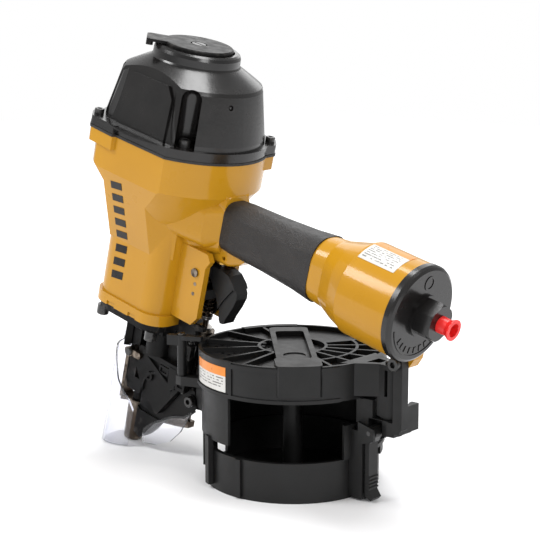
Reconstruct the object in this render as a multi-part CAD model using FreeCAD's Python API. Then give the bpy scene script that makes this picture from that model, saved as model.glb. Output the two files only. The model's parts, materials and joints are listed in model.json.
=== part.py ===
"""Pneumatic coil nail gun, millimetres.

Row frame: +Z up, +X from the nose towards the air inlet, +Y to the tool's right. The origin is the centre
of the canister's flat base, on the surface that the tool stands on. The tool stands on that base and on its
nose tip.

Most of the tool is drawn in its own tool frame and then leaned into the row frame by in_tool():
u runs back along the handle, y runs across, w runs up the driver axis, and (0, 0, 0) is the foot of that
axis.
"""
import FreeCAD
import Part
import math
import os

from FreeCAD import Vector

os.makedirs("parts", exist_ok=True)

# ---------------------------------------------------------------- driving dimensions
LEAN = 14.0                  # driver axis off vertical, degrees: the angle of the nail coil
NOSE_X = -185.6              # foot of the driver axis in the row frame
TOOL_Y = -16.0               # the driver and handle plane lies this far beside the canister's centre

# heights on the driver axis
NOSE_TOP = 130.0             # top face of the nose flange
NECK_LOW = 236.0             # the barrel flares between these two into the head
NECK_HIGH = 266.0
CHEEK_LOW = 200.0            # the barrel's flat sides lean out to the head's between these two
CHEEK_HIGH = 264.0
BODY_TOP = 296.0
FLANGE_TOP = 306.0
SHOULDER = 354.0
CONE_TOP = 367.0
CROWN_TOP = 378.0

HEAD_R = 75.0
HEAD_FLAT = 62.5             # half width across the head's flat sides
BARREL_HALF = 41.0
BORE_R = 36.0
SLEEVE_IN_R = 32.0
SLEEVE_OUT_R = 35.5

HANDLE_W = 242.0             # height of the handle's axis
GRIP_FRONT = 76.0
GRIP_REAR = 182.0
RESERVOIR_R = 40.0
RESERVOIR_END = 275.0

BASE_R = 75.0                # canister tray
TRAY_H = 34.0
COVER_R = 80.6
COVER_TOP = 116.4
BAND_BOTTOM = 86.0
HINGE_X = 103.0
HINGE_Y = 6.0
HINGE_LOW = 71.0             # the cover's knuckle stands on the housing's here
PAD_TURN = -45.0             # the cover's bridge points this way, degrees from +X

# trigger group (tool frame)
PIVOT_U, PIVOT_W = 61.5, 195.6            # trigger pivot
TRIGGER_PIN_R = 2.5
LUG_HOLES = [(63.3, 185.5), (62.9, 176.4)]
LUG_HOLE_R = 1.65
VALVE_U, VALVE_R = 71.0, 4.6              # trigger valve
ROD_U, ROD_Y, ROD_R = 57.5, 7.5, 2.4      # the contact arm's rod

# fasteners and small fittings (tool frame)
EAR_SCREW = 53.4                          # ear screws, along each of u and y
CAP_SCREW = 43.0                          # cap screws, along each of u and y
CAP_SCREWS = [(side * CAP_SCREW, across * CAP_SCREW)
              for side, across in ((-1, -1), (1, -1), (1, 1), (-1, 1))]
NOSE_SCREWS = [(u, y) for u in (-32.0, 32.0) for y in (-33.0, 33.0)]
DEFLECTOR_LOW = 378.6                    # underside of the deflector's peak
INLET_R = 6.0
MAG_BOLT_R = 3.0                          # both bolts that carry the canister
HANGER_HOLE = (264.0, -5.0, 190.0)

# nose (tool frame)
DRIVE_BORE = 4.2
TIP_IN = 6.3                              # inside radius of the contact tip
DOOR_U, DOOR_Y = 68.0, -18.0              # door hinge axis, parallel to the driver
DOOR_LOW, DOOR_HIGH = 84.0, 129.0         # ends of that hinge
DOOR_TOP = 102.0
LATCH_U, LATCH_W = -4.0, 92.0             # turn button that keeps the door shut
STRUT_U, STRUT_W = 76.0, 76.0             # bolt that ties the canister to the nose
FEED_Y, FEED_W = 23.0, 92.0               # axis of the feed cylinder
FEED_OUT, FEED_IN = 10.0, 7.5

# nail canister (row frame)
WALL_IN, WALL_OUT = 75.4, 78.2            # fixed wall, between the tray and the cover's band
WALL_TOP = 85.0
THROAT_LEFT, THROAT_RIGHT = -20.0, -8.0   # the nail passage from the canister to the nose
PANEL_Y = -25.0                           # inner face of the nose's side plates
LEAN_SIN, LEAN_COS = math.sin(math.radians(LEAN)), math.cos(math.radians(LEAN))
STRUT_X = NOSE_X + STRUT_U * LEAN_COS + STRUT_W * LEAN_SIN
STRUT_Z = STRUT_W * LEAN_COS - STRUT_U * LEAN_SIN
HANG_X, HANG_Z = 116.5, 120.5             # bolt that hangs the canister from the air reservoir
LATCH_X, LATCH_Y = -84.0, -50.0           # cover latch pivot
TRAY_LATCH_X, TRAY_LATCH_Z = 95.0, 60.0   # tray latch pivot, parallel to Y


X = Vector(1, 0, 0)
Y = Vector(0, 1, 0)
Z = Vector(0, 0, 1)
ORIGIN = Vector(0, 0, 0)


# ---------------------------------------------------------------- helpers
def save(name, shape):
    solids = shape.Solids
    out = solids[0] if len(solids) == 1 else Part.makeCompound(solids)
    out.exportStep(f"parts/{name}.step")
    print(f"{name}: {len(solids)} solid(s), {out.Volume / 1000:.1f} cm3, valid {out.isValid()}")


def save_group(name, solids):
    """Identical fasteners or trim of the tool frame, kept as separate solids of one node."""
    save(name, in_tool(Part.makeCompound(solids)))


def in_tool(shape):
    """A shape drawn in the tool frame, leaned into the row frame."""
    out = shape.copy()
    out.Placement = FreeCAD.Placement(Vector(NOSE_X, TOOL_Y, 0),
                                      FreeCAD.Rotation(Y, LEAN)).multiply(out.Placement)
    return out


def box(x0, x1, y0, y1, z0, z1):
    return Part.makeBox(x1 - x0, y1 - y0, z1 - z0, Vector(x0, y0, z0))


def rod(radius, length, base=ORIGIN, axis=Z):
    return Part.makeCylinder(radius, length, base, axis)


def tube(outer, inner, length, base=ORIGIN, axis=Z):
    return rod(outer, length, base, axis).cut(rod(inner, length, base, axis))


def fuse(*shapes):
    return shapes[0].multiFuse(list(shapes[1:])).removeSplitter()


def cut(shape, *tools):
    for tool in tools:
        shape = shape.cut(tool)
    return shape.removeSplitter()


def side_plate(points, y0, y1):
    """A plate in the u-w (or X-Z) plane with that outline, from y0 to y1."""
    wire = Part.makePolygon([Vector(u, y0, w) for u, w in points + points[:1]])
    return Part.Face(wire).extrude(Vector(0, y1 - y0, 0))


def flat_plate(points, z0, z1):
    wire = Part.makePolygon([Vector(x, y, z0) for x, y in points + points[:1]])
    return Part.Face(wire).extrude(Vector(0, 0, z1 - z0))


def revolved(profile, centre=ORIGIN, axis=Z):
    """Turns a closed (radius, height) outline about the Z axis, then stands it at centre along axis."""
    wire = Part.makePolygon([Vector(r, 0, h) for r, h in profile + profile[:1]])
    solid = Part.Face(wire).revolve(ORIGIN, Z, 360)
    solid.Placement = FreeCAD.Placement(centre, FreeCAD.Rotation(Z, axis))
    return solid


def rounded(shape, radius, wanted):
    """Fillets the edges that wanted(edge) picks."""
    edges = [e for e in shape.Edges if wanted(e)]
    return shape.makeFillet(radius, edges) if edges else shape


def upright(edge):
    a, b = edge.Vertexes[0].Point, edge.Vertexes[-1].Point
    return (a - b).Length > 1e-6 and abs((a - b).normalize().z) > 0.999


def along_y(edge):
    a, b = edge.Vertexes[0].Point, edge.Vertexes[-1].Point
    return (a - b).Length > 1e-6 and abs((a - b).normalize().y) > 0.999


def rounded_box(x0, x1, y0, y1, z0, z1, radius):
    return rounded(box(x0, x1, y0, y1, z0, z1), radius, upright)


def oval_wire(u, half_y, half_w, corner, centre_w=HANDLE_W):
    """A rounded rectangle across the handle at u, as a wire with the same eight edges at every size."""
    c = corner
    y0, y1, w0, w1 = -half_y, half_y, centre_w - half_w, centre_w + half_w
    k = c * (1 - math.sqrt(0.5))

    def p(y, w):
        return Vector(u, y, w)

    edges = [
        Part.LineSegment(p(y0 + c, w0), p(y1 - c, w0)).toShape(),
        Part.Arc(p(y1 - c, w0), p(y1 - k, w0 + k), p(y1, w0 + c)).toShape(),
        Part.LineSegment(p(y1, w0 + c), p(y1, w1 - c)).toShape(),
        Part.Arc(p(y1, w1 - c), p(y1 - k, w1 - k), p(y1 - c, w1)).toShape(),
        Part.LineSegment(p(y1 - c, w1), p(y0 + c, w1)).toShape(),
        Part.Arc(p(y0 + c, w1), p(y0 + k, w1 - k), p(y0, w1 - c)).toShape(),
        Part.LineSegment(p(y0, w1 - c), p(y0, w0 + c)).toShape(),
        Part.Arc(p(y0, w0 + c), p(y0 + k, w0 + k), p(y0 + c, w0)).toShape(),
    ]
    return Part.Wire(edges)


def loft(wires):
    return Part.makeLoft(wires, True, True)


def ring_sector(r_in, r_out, z0, z1, start, end):
    """Part of a tube about Z, from angle start to angle end, in degrees."""
    face = Part.Face(Part.makePolygon([Vector(r, 0, z) for r, z in
                                       [(r_in, z0), (r_out, z0), (r_out, z1), (r_in, z1), (r_in, z0)]]))
    solid = face.revolve(ORIGIN, Z, end - start)
    solid.rotate(ORIGIN, Z, start)
    return solid


def turned(shape, angle, centre=ORIGIN, axis=Z):
    out = shape.copy()
    out.rotate(centre, axis, angle)
    return out


def socket_screw(head_r, head_h, shank_r, shank_l, seat, axis):
    """A socket head screw whose head stands on seat and whose shank runs back against axis."""
    profile = [(0, -shank_l), (shank_r, -shank_l), (shank_r, 0), (head_r, 0), (head_r, head_h - 0.6),
               (head_r - 0.6, head_h), (0, head_h)]
    body = revolved(profile, seat, axis)
    hexagon = Part.makePolygon([Vector(head_r * 0.52 * math.cos(a), head_r * 0.52 * math.sin(a),
                                       head_h * 0.4)
                                for a in [i * math.pi / 3 for i in range(7)]])
    key = Part.Face(hexagon).extrude(Vector(0, 0, head_h))
    key.Placement = FreeCAD.Placement(seat, FreeCAD.Rotation(Z, axis))
    return body.cut(key)


def coil_spring(radius, wire_r, pitch, height, base, axis=Z):
    path = Part.makeHelix(pitch, height, radius)
    section = Part.Wire(Part.makeCircle(wire_r, Vector(radius, 0, 0),
                                        Vector(0, radius, pitch / (2 * math.pi))))
    spring = Part.Wire(path).makePipeShell([section], True, True)
    spring.Placement = FreeCAD.Placement(base, FreeCAD.Rotation(Z, axis))
    return spring


def on_axis(w):
    return Vector(0, 0, w)


# ---------------------------------------------------------------- head, barrel, handle (tool frame)
def head_plan(z0, z1, grow=0.0):
    """The head's outline: a circle with flat sides and two pointed screw ears on one diagonal."""
    disc = rod(HEAD_R + grow, z1 - z0, on_axis(z0))
    disc = disc.common(box(-120, 120, -HEAD_FLAT - grow, HEAD_FLAT + grow, z0, z1))
    tip = EAR_SCREW + 6
    ears = []
    for s in (1, -1):
        corner = [(20, 66 + grow), (tip - 8, tip + 4 + grow), (tip + 4 + grow, tip - 8), (66 + grow, 20)]
        points = [(s * x, s * y) for x, y in corner]
        wedge = flat_plate(points + [(0, 0)], z0, z1)
        ears.append(rounded(wedge, 7, lambda e: upright(e) and abs(e.Vertexes[0].X + e.Vertexes[0].Y) > 100))
    return disc, ears


def head_block(z0, z1, grow=0.0):
    disc, ears = head_plan(z0, z1, grow)
    return fuse(disc, *ears)


def handle_core():
    """The metal under the grip, with the same sections that the grip is hollowed to."""
    return loft([oval_wire(GRIP_FRONT - 14, 12.5, 19, 9), oval_wire(110, 12.5, 18.5, 9),
                 oval_wire(150, 15, 20, 10), oval_wire(GRIP_REAR, 18, 23, 12)])


def main_housing():
    disc, ears = head_plan(NECK_HIGH, BODY_TOP)
    lug_ears = [ear.common(rod(EAR_SCREW * math.sqrt(2) + 5.5, 12, on_axis(BODY_TOP - 12))) for ear in ears]
    flare = revolved([(0, 222), (43, 222), (54, NECK_LOW), (HEAD_R, NECK_HIGH), (0, NECK_HIGH)])
    b = BARREL_HALF
    sides = [(b, 190), (b, CHEEK_LOW), (HEAD_FLAT, CHEEK_HIGH), (HEAD_FLAT, 300)]
    outline = [Vector(-80, y, w) for y, w in sides] + [Vector(-80, -y, w) for y, w in reversed(sides)]
    between_sides = Part.Face(Part.makePolygon(outline + outline[:1])).extrude(Vector(160, 0, 0))
    flare = flare.common(between_sides)
    barrel = rounded_box(-b, b, -b, b, NOSE_TOP + 10, NECK_HIGH, 20)
    cheeks = [loft([Part.makePolygon([Vector(u, s * y, w) for u, y in
                                      ((-30, 30), (40, 30), (22, deep), (-30, deep), (-30, 30))])
                    for w, deep in ((CHEEK_LOW, b), (CHEEK_HIGH, HEAD_FLAT))]) for s in (1, -1)]
    foot = rounded_box(-b - 2, b + 2, -b - 2, b + 2, NOSE_TOP + 7, NOSE_TOP + 17, 20)
    shoulders = loft([oval_wire(b - 8, 39, 24, 14, 246), oval_wire(64, 26, 22, 14, 240),
                      oval_wire(GRIP_FRONT, 15, 20, 10)])
    root = loft([oval_wire(20, 24, 33, 12), oval_wire(48, 22, 34, 12), oval_wire(64, 17, 31, 10),
                 oval_wire(GRIP_FRONT, 15, 26, 9)])
    chin = side_plate([(48, 216), (56, 209), (66, 207.5), (86, 208.5), (97, 213), (104, 219), (104, 226),
                       (60, 230)],
                      -11, 11)
    chin = rounded(chin, 4, lambda e: e.BoundBox.ZMax < 218 and e.BoundBox.YLength < 0.1)
    chin = chin.cut(loft(grip_sections()))
    web = side_plate([(34, 282), (34, 262), (75, 262), (75, 267), (64, 282)], -14, 14)
    lugs = [side_plate([(30, 148), (66, 148), (72, 156), (72, 203), (76, 210), (72, 216), (30, 216)],
                       y0, y1)
            for y0, y1 in ((-22, -16), (16, 22))]
    neck = loft([oval_wire(GRIP_REAR, 22, 28, 20), oval_wire(196, 23, 29.5, 21), oval_wire(212, 32, 34, 28),
                 oval_wire(228, 39.6, 39.6, 38.5)])
    reservoir = rod(RESERVOIR_R, RESERVOIR_END - 226, Vector(226, 0, HANDLE_W), X)
    hanger = side_plate([(256, 226), (256, 196), (259, 188), (265, 185), (271, 188), (274, 196),
                         (274, 226)], 17, 29)
    body = fuse(disc, *lug_ears, flare, barrel, *cheeks, foot, shoulders, root, chin, web, *lugs,
                handle_core(), neck,
                reservoir, hanger)
    bore = rod(BORE_R, BODY_TOP - NOSE_TOP, on_axis(NOSE_TOP))
    chamber = rod(56, BODY_TOP - 272, on_axis(272))
    store = revolved([(0, 0), (20, 0), (35, 24), (35, 76), (0, 76)], Vector(200, 0, HANDLE_W), X)
    passage = rod(11, 160, Vector(50, 0, HANDLE_W), X)
    valve_seat = rod(VALVE_R, 30, Vector(VALVE_U, 0, 202))
    valve_face = rod(6.3, 10, Vector(VALVE_U, 0, 198))
    notches = [box(s * 14 - 5, s * 14 + 5, -b - 4, -b - 0.5, NOSE_TOP + 6, NOSE_TOP + 11) for s in (-1, 1)]
    pin = rod(TRIGGER_PIN_R, 60, Vector(PIVOT_U, -30, PIVOT_W), Y)
    small_holes = [rod(LUG_HOLE_R, 60, Vector(u, -30, w), Y) for u, w in LUG_HOLES]
    cross_hole = rod(1.8, 8, Vector(81, -14, 214.5), Y)
    mag_bolt = rod(MAG_BOLT_R, 40, Vector(*HANGER_HOLE), Y)
    seal_groove = tube(38.0, 35.0, 2, Vector(RESERVOIR_END - 1.2, 0, HANDLE_W), X)
    screw_holes = [rod(2.9, 24, Vector(u, y, NOSE_TOP + 7)) for u, y in NOSE_SCREWS]
    cap_holes = [rod(2.9, 20, Vector(x, y, BODY_TOP - 20)) for x, y in CAP_SCREWS]
    ear_holes = [rod(2.9, 20, Vector(s * EAR_SCREW, s * EAR_SCREW, BODY_TOP - 20)) for s in (1, -1)]
    body = cut(body, bore, chamber, store, passage, valve_seat, valve_face, *notches, pin, *small_holes,
               cross_hole,
               mag_bolt, seal_groove, *screw_holes, *cap_holes, *ear_holes)
    save("main_housing", in_tool(body))


def grip_sections():
    return [oval_wire(GRIP_FRONT, 15.5, 22, 11), oval_wire(88, 17.5, 23, 13), oval_wire(125, 18.5, 24, 14),
            oval_wire(160, 20.5, 26, 16), oval_wire(GRIP_REAR, 22.5, 28.5, 18)]


def cap_gasket():
    ring = head_block(BODY_TOP, BODY_TOP + 2, 0.8)
    hole = rod(57, 4, on_axis(BODY_TOP - 1))
    screws = [rod(3.2, 4, Vector(x, y, BODY_TOP - 1)) for x, y in CAP_SCREWS]
    ears = [rod(3.2, 4, Vector(s * EAR_SCREW, s * EAR_SCREW, BODY_TOP - 1)) for s in (1, -1)]
    save("cap_gasket", in_tool(cut(ring, hole, *screws, *ears)))


def cylinder_cap():
    flange = head_block(BODY_TOP + 2, FLANGE_TOP)
    dome = revolved([(0, FLANGE_TOP - 1), (71, FLANGE_TOP - 1), (70.5, FLANGE_TOP + 4),
                     (61.6, SHOULDER - 3),
                     (60, SHOULDER), (39, CONE_TOP - 0.5), (38, CONE_TOP + 1), (37.8, CROWN_TOP - 4),
                     (36.8, CROWN_TOP - 1.4), (34.8, CROWN_TOP), (32, CROWN_TOP), (32, CONE_TOP),
                     (0, CONE_TOP)])
    sides = []
    for s in (1, -1):
        slab = box(-100, 100, 0, 40, FLANGE_TOP, 400)
        slab.rotate(ORIGIN, X, 6.0)
        slab.translate(Vector(0, 54 + FLANGE_TOP * math.tan(math.radians(6)), 0))
        sides.append(slab if s > 0 else slab.mirror(ORIGIN, Y))
    dome = cut(dome, *sides)
    panels = []
    for s in (1, -1):
        panel = side_plate([(-29, FLANGE_TOP - 1), (30, FLANGE_TOP - 1), (29, 342), (22, 352), (-22, 352),
                            (-28, 342)],
                           0, 8)
        panel.rotate(Vector(0, 0, FLANGE_TOP), X, 5.0)
        panel.translate(Vector(0, 47.5, 0))
        panels.append(panel if s > 0 else panel.mirror(ORIGIN, Y))
    walls = revolved([(0, FLANGE_TOP - 1), (70, FLANGE_TOP - 1), (61, SHOULDER - 4), (57, SHOULDER),
                      (0, SHOULDER)])
    bosses = [rod(14, SHOULDER - FLANGE_TOP + 3, Vector(x * 0.93, y * 0.93, FLANGE_TOP - 1)).common(walls)
              for x, y in CAP_SCREWS]
    body = fuse(flange, dome, *panels, *bosses)
    body = body.cut(Part.makeSphere(2.4, Vector(61.5, -14, 343)))
    channels = [rod(8.6, 40, Vector(x, y, FLANGE_TOP)).fuse(
                Part.makeSphere(8.6, Vector(x, y, FLANGE_TOP + 40)))
                for x, y in CAP_SCREWS]
    mouths = [turned(side_plate([(CAP_SCREW * math.sqrt(2), FLANGE_TOP), (100, FLANGE_TOP), (100, SHOULDER),
                                 (CAP_SCREW * math.sqrt(2), FLANGE_TOP + 40)], -8.6, 8.6),
                     math.degrees(math.atan2(y, x))) for x, y in CAP_SCREWS]
    inside = revolved([(0, BODY_TOP), (45, BODY_TOP), (45, 344), (36, 352), (0, 352)])
    vent = ring_sector(22, 29, 340, 380, 0, 360)
    spokes = [turned(box(20, 31, -2.5, 2.5, 340, 380), a) for a in range(0, 360, 60)]
    vent = cut(vent, *spokes)
    screw_hole = rod(2.5, 40, on_axis(CONE_TOP - 20))
    holes = [rod(3.0, 20, Vector(x, y, BODY_TOP)) for x, y in CAP_SCREWS]
    ears = [rod(3.0, 20, Vector(s * EAR_SCREW, s * EAR_SCREW, BODY_TOP)) for s in (1, -1)]
    save("cylinder_cap", in_tool(cut(body, *channels, *mouths, inside, vent, screw_hole, *holes, *ears)))


def cap_screws():
    save_group("cap_screws", [socket_screw(5.0, 6.0, 2.85, 24, Vector(x, y, FLANGE_TOP), Z)
                              for x, y in CAP_SCREWS])
    save_group("ear_screws", [socket_screw(4.2, 4.5, 2.4, 24,
                                           Vector(s * EAR_SCREW, s * EAR_SCREW, FLANGE_TOP), Z)
                              for s in (1, -1)])


def exhaust_deflector():
    under = CROWN_TOP - 2.5
    disc = revolved([(0, under), (30.6, under), (30.6, 380), (29.6, 381), (0, 381)])
    hub = rod(11, under - CONE_TOP, on_axis(CONE_TOP + 0.3))
    visor = box(0, 45, -12.5, 12.5, DEFLECTOR_LOW, 381)
    visor = rounded(visor, 4, upright)
    lip = box(39, 45, -12.5, 12.5, 375.5, DEFLECTOR_LOW + 1)
    lip = rounded(lip, 2.5, upright)
    peak = turned(fuse(visor, lip), 225)
    body = fuse(disc, hub, peak)
    recess = rod(7.2, 4, on_axis(379.0))
    hole = rod(4.3, 30, on_axis(CONE_TOP - 2))
    save("exhaust_deflector", in_tool(cut(body, recess, hole)))


def deflector_screw():
    shoulder = rod(4.0, 379.3 - CONE_TOP, on_axis(CONE_TOP))
    shank = rod(2.5, 14, on_axis(CONE_TOP - 14))
    head = revolved([(0, 379.3), (6.8, 379.3), (6.8, 380.2), (6.0, 381), (0, 381)])
    slot = box(-5.5, 5.5, -0.9, 0.9, 380.0, 382)
    save("deflector_screw", in_tool(cut(fuse(shoulder, shank, head), slot)))


def cylinder_sleeve():
    sleeve = tube(SLEEVE_OUT_R, SLEEVE_IN_R, 284 - 140, on_axis(140))
    collar = tube(BORE_R, SLEEVE_OUT_R - 0.5, 6, on_axis(262))
    save("cylinder_sleeve", in_tool(fuse(sleeve, collar)))


def piston_driver():
    piston = revolved([(0, 262), (9, 262), (12, 268), (31.8, 268), (31.8, 271), (29.5, 271), (29.5, 275),
                       (31.8, 275), (31.8, 278), (24, 280), (0, 280)])
    blade = rod(3.2, 262 - 118 + 2, on_axis(118))
    save("piston_driver", in_tool(fuse(piston, blade)))


def piston_ring():
    save("piston_ring", in_tool(tube(31.9, 29.6, 3.8, on_axis(271.1))))


def bumper():
    save("piston_bumper", in_tool(revolved([(7, 140), (31.9, 140), (31.9, 150), (28, 159), (18, 159),
                                            (7, 154)])))


def head_valve():
    ring = revolved([(30, 285.5), (40, 285.5), (44.6, 290), (44.6, 300), (30, 300)])
    save("head_valve", in_tool(ring))


def head_valve_spring():
    save("head_valve_spring", in_tool(coil_spring(37, 1.5, 8, 36, on_axis(303))))


def grip():
    save("handle_grip", in_tool(loft(grip_sections()).cut(handle_core())))


def end_cap():
    body = revolved([(0, 0), (40.6, 0), (40.6, 4.5), (39.6, 6.6), (37.4, 8), (0, 8)],
                    Vector(RESERVOIR_END, 0, HANDLE_W), X)
    marks = []
    for i in range(9):
        mark = box(RESERVOIR_END + 7, RESERVOIR_END + 8.6, -1.5, 1.5, HANDLE_W - 32, HANDLE_W - 27)
        marks.append(turned(mark, -52 + 13 * i, Vector(0, 0, HANDLE_W), X))
    arc = tube(34.6, 33.6, 1.6, Vector(RESERVOIR_END + 7, 0, HANDLE_W), X)
    arc = arc.common(box(RESERVOIR_END, RESERVOIR_END + 10, -60, 60, HANDLE_W - 60, HANDLE_W - 8))
    disc_mark = tube(6, 4.4, 1.6, Vector(RESERVOIR_END + 7, 0, HANDLE_W + 27), X)
    hole = rod(9.5, 20, Vector(RESERVOIR_END - 2, 0, HANDLE_W), X)
    save("end_cap", in_tool(cut(fuse(body, *marks, arc, disc_mark), hole)))


def end_cap_seal():
    save("end_cap_seal", in_tool(tube(38.0, 35.2, 1.2, Vector(RESERVOIR_END - 1.2, 0, HANDLE_W), X)))


def inlet_fitting():
    u = RESERVOIR_END + 8
    points = [Vector(u, 16.2 * math.cos(a), HANDLE_W + 16.2 * math.sin(a)) for a in
              [math.radians(60 * i + 30) for i in range(7)]]
    hexagon = Part.Face(Part.makePolygon(points)).extrude(Vector(18, 0, 0))
    crown = revolved([(0, 0), (16.6, 0), (16.6, 16), (14.6, 18), (0, 18)], Vector(u, 0, HANDLE_W), X)
    collar = rod(17.5, 3, Vector(u, 0, HANDLE_W), X)
    spigot = rod(9.4, 10, Vector(u - 9, 0, HANDLE_W), X)
    body = fuse(hexagon.common(crown), collar, spigot)
    bore = rod(INLET_R, 40, Vector(u - 12, 0, HANDLE_W), X)
    save("inlet_fitting", in_tool(cut(body, bore)))


def inlet_plug():
    u = RESERVOIR_END + 12
    profile = [(0, 0), (5.4, 0), (5.95, 1), (5.95, 14.2), (7.0, 14.2), (6.6, 22), (7.6, 24), (8.7, 26),
               (8.7, 27),
               (5.6, 27), (4.6, 12), (0, 12)]
    save("inlet_plug", in_tool(revolved(profile, Vector(u, 0, HANDLE_W), X)))


# ---------------------------------------------------------------- trigger group (tool frame)
def trigger():
    outline = [(55.5, 189), (55.5, 198), (60, 201.5), (67, 202.2), (80, 202.2), (88, 200), (95, 194),
               (99.5, 187), (100, 182), (97, 173), (92, 162), (90, 155.5), (86, 155), (84, 158), (82.5, 166),
               (80, 173), (77.5, 178), (74, 181), (69, 189.8), (57.5, 190.8)]
    blade = side_plate(outline, -8.5, 8.5)
    boss = rod(6.6, 31, Vector(PIVOT_U, -15.5, PIVOT_W), Y)
    hollow = side_plate([(50, 170), (50, 210), (66, 210), (66, 199.5), (82, 197.5), (90, 190), (91, 182),
                         (86, 172), (78, 168)], -5.5, 5.5)
    waist = [side_plate([(86, 176), (80, 164), (80, 150), (96, 150), (102, 182), (101, 190), (95, 190)], y0, y1)
             for y0, y1 in ((-9, -6.8), (6.8, 9))]
    pin = rod(TRIGGER_PIN_R + 0.05, 40, Vector(PIVOT_U, -20, PIVOT_W), Y)
    save("trigger", in_tool(cut(fuse(blade, boss), hollow, pin, *waist)))


def trigger_pin():
    pin = rod(TRIGGER_PIN_R, 45, Vector(PIVOT_U, -22.5, PIVOT_W), Y)
    head = rod(3.8, 1.2, Vector(PIVOT_U, -23.7, PIVOT_W), Y)
    save("trigger_pin", in_tool(fuse(pin, head)))


def guide_pins():
    save_group("guide_pins", [rod(LUG_HOLE_R, 44.6, Vector(u, -22.3, w), Y) for u, w in LUG_HOLES])


def valve_body():
    body = rod(VALVE_R, 24, Vector(VALVE_U, 0, 208))
    flange = rod(6.2, 2.5, Vector(VALVE_U, 0, 205.5))
    bore = rod(1.85, 60, Vector(VALVE_U, 0, 200))
    chamber = rod(3.7, 12, Vector(VALVE_U, 0, 214))
    save("trigger_valve_body", in_tool(cut(fuse(body, flange), bore, chamber)))


def valve_stem():
    stem = rod(1.8, 25.7, Vector(VALVE_U, 0, 202.5))
    collar = rod(3.6, 1.5, Vector(VALVE_U, 0, 214.6))
    save("trigger_valve_stem", in_tool(fuse(stem, collar)))


def valve_spring():
    save("trigger_valve_spring", in_tool(coil_spring(2.8, 0.4, 1.6, 8.0, Vector(VALVE_U, 0, 217.0))))


def arm_guide():
    lower = box(43, 71, -15.9, 15.9, 172, 180.5)
    spine = box(42, 48, -15.9, 15.9, 150, 202)
    ears = [side_plate([(48, 150), (60, 150), (66, 160), (66, 190), (56, 190), (48, 202)], y0, y1)
            for y0, y1 in ((-15.9, -13.2), (13.2, 15.9))]
    body = fuse(lower, spine, *ears)
    rod_hole = rod(ROD_R + 0.15, 60, Vector(ROD_U, ROD_Y, 140))
    pins = [rod(LUG_HOLE_R, 60, Vector(u, -30, w), Y) for u, w in LUG_HOLES]
    room = rod(16.9, 34, Vector(PIVOT_U, -17, PIVOT_W), Y)
    save("arm_guide", in_tool(cut(body, rod_hole, room, *pins)))


# ---------------------------------------------------------------- nose (tool frame)


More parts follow.
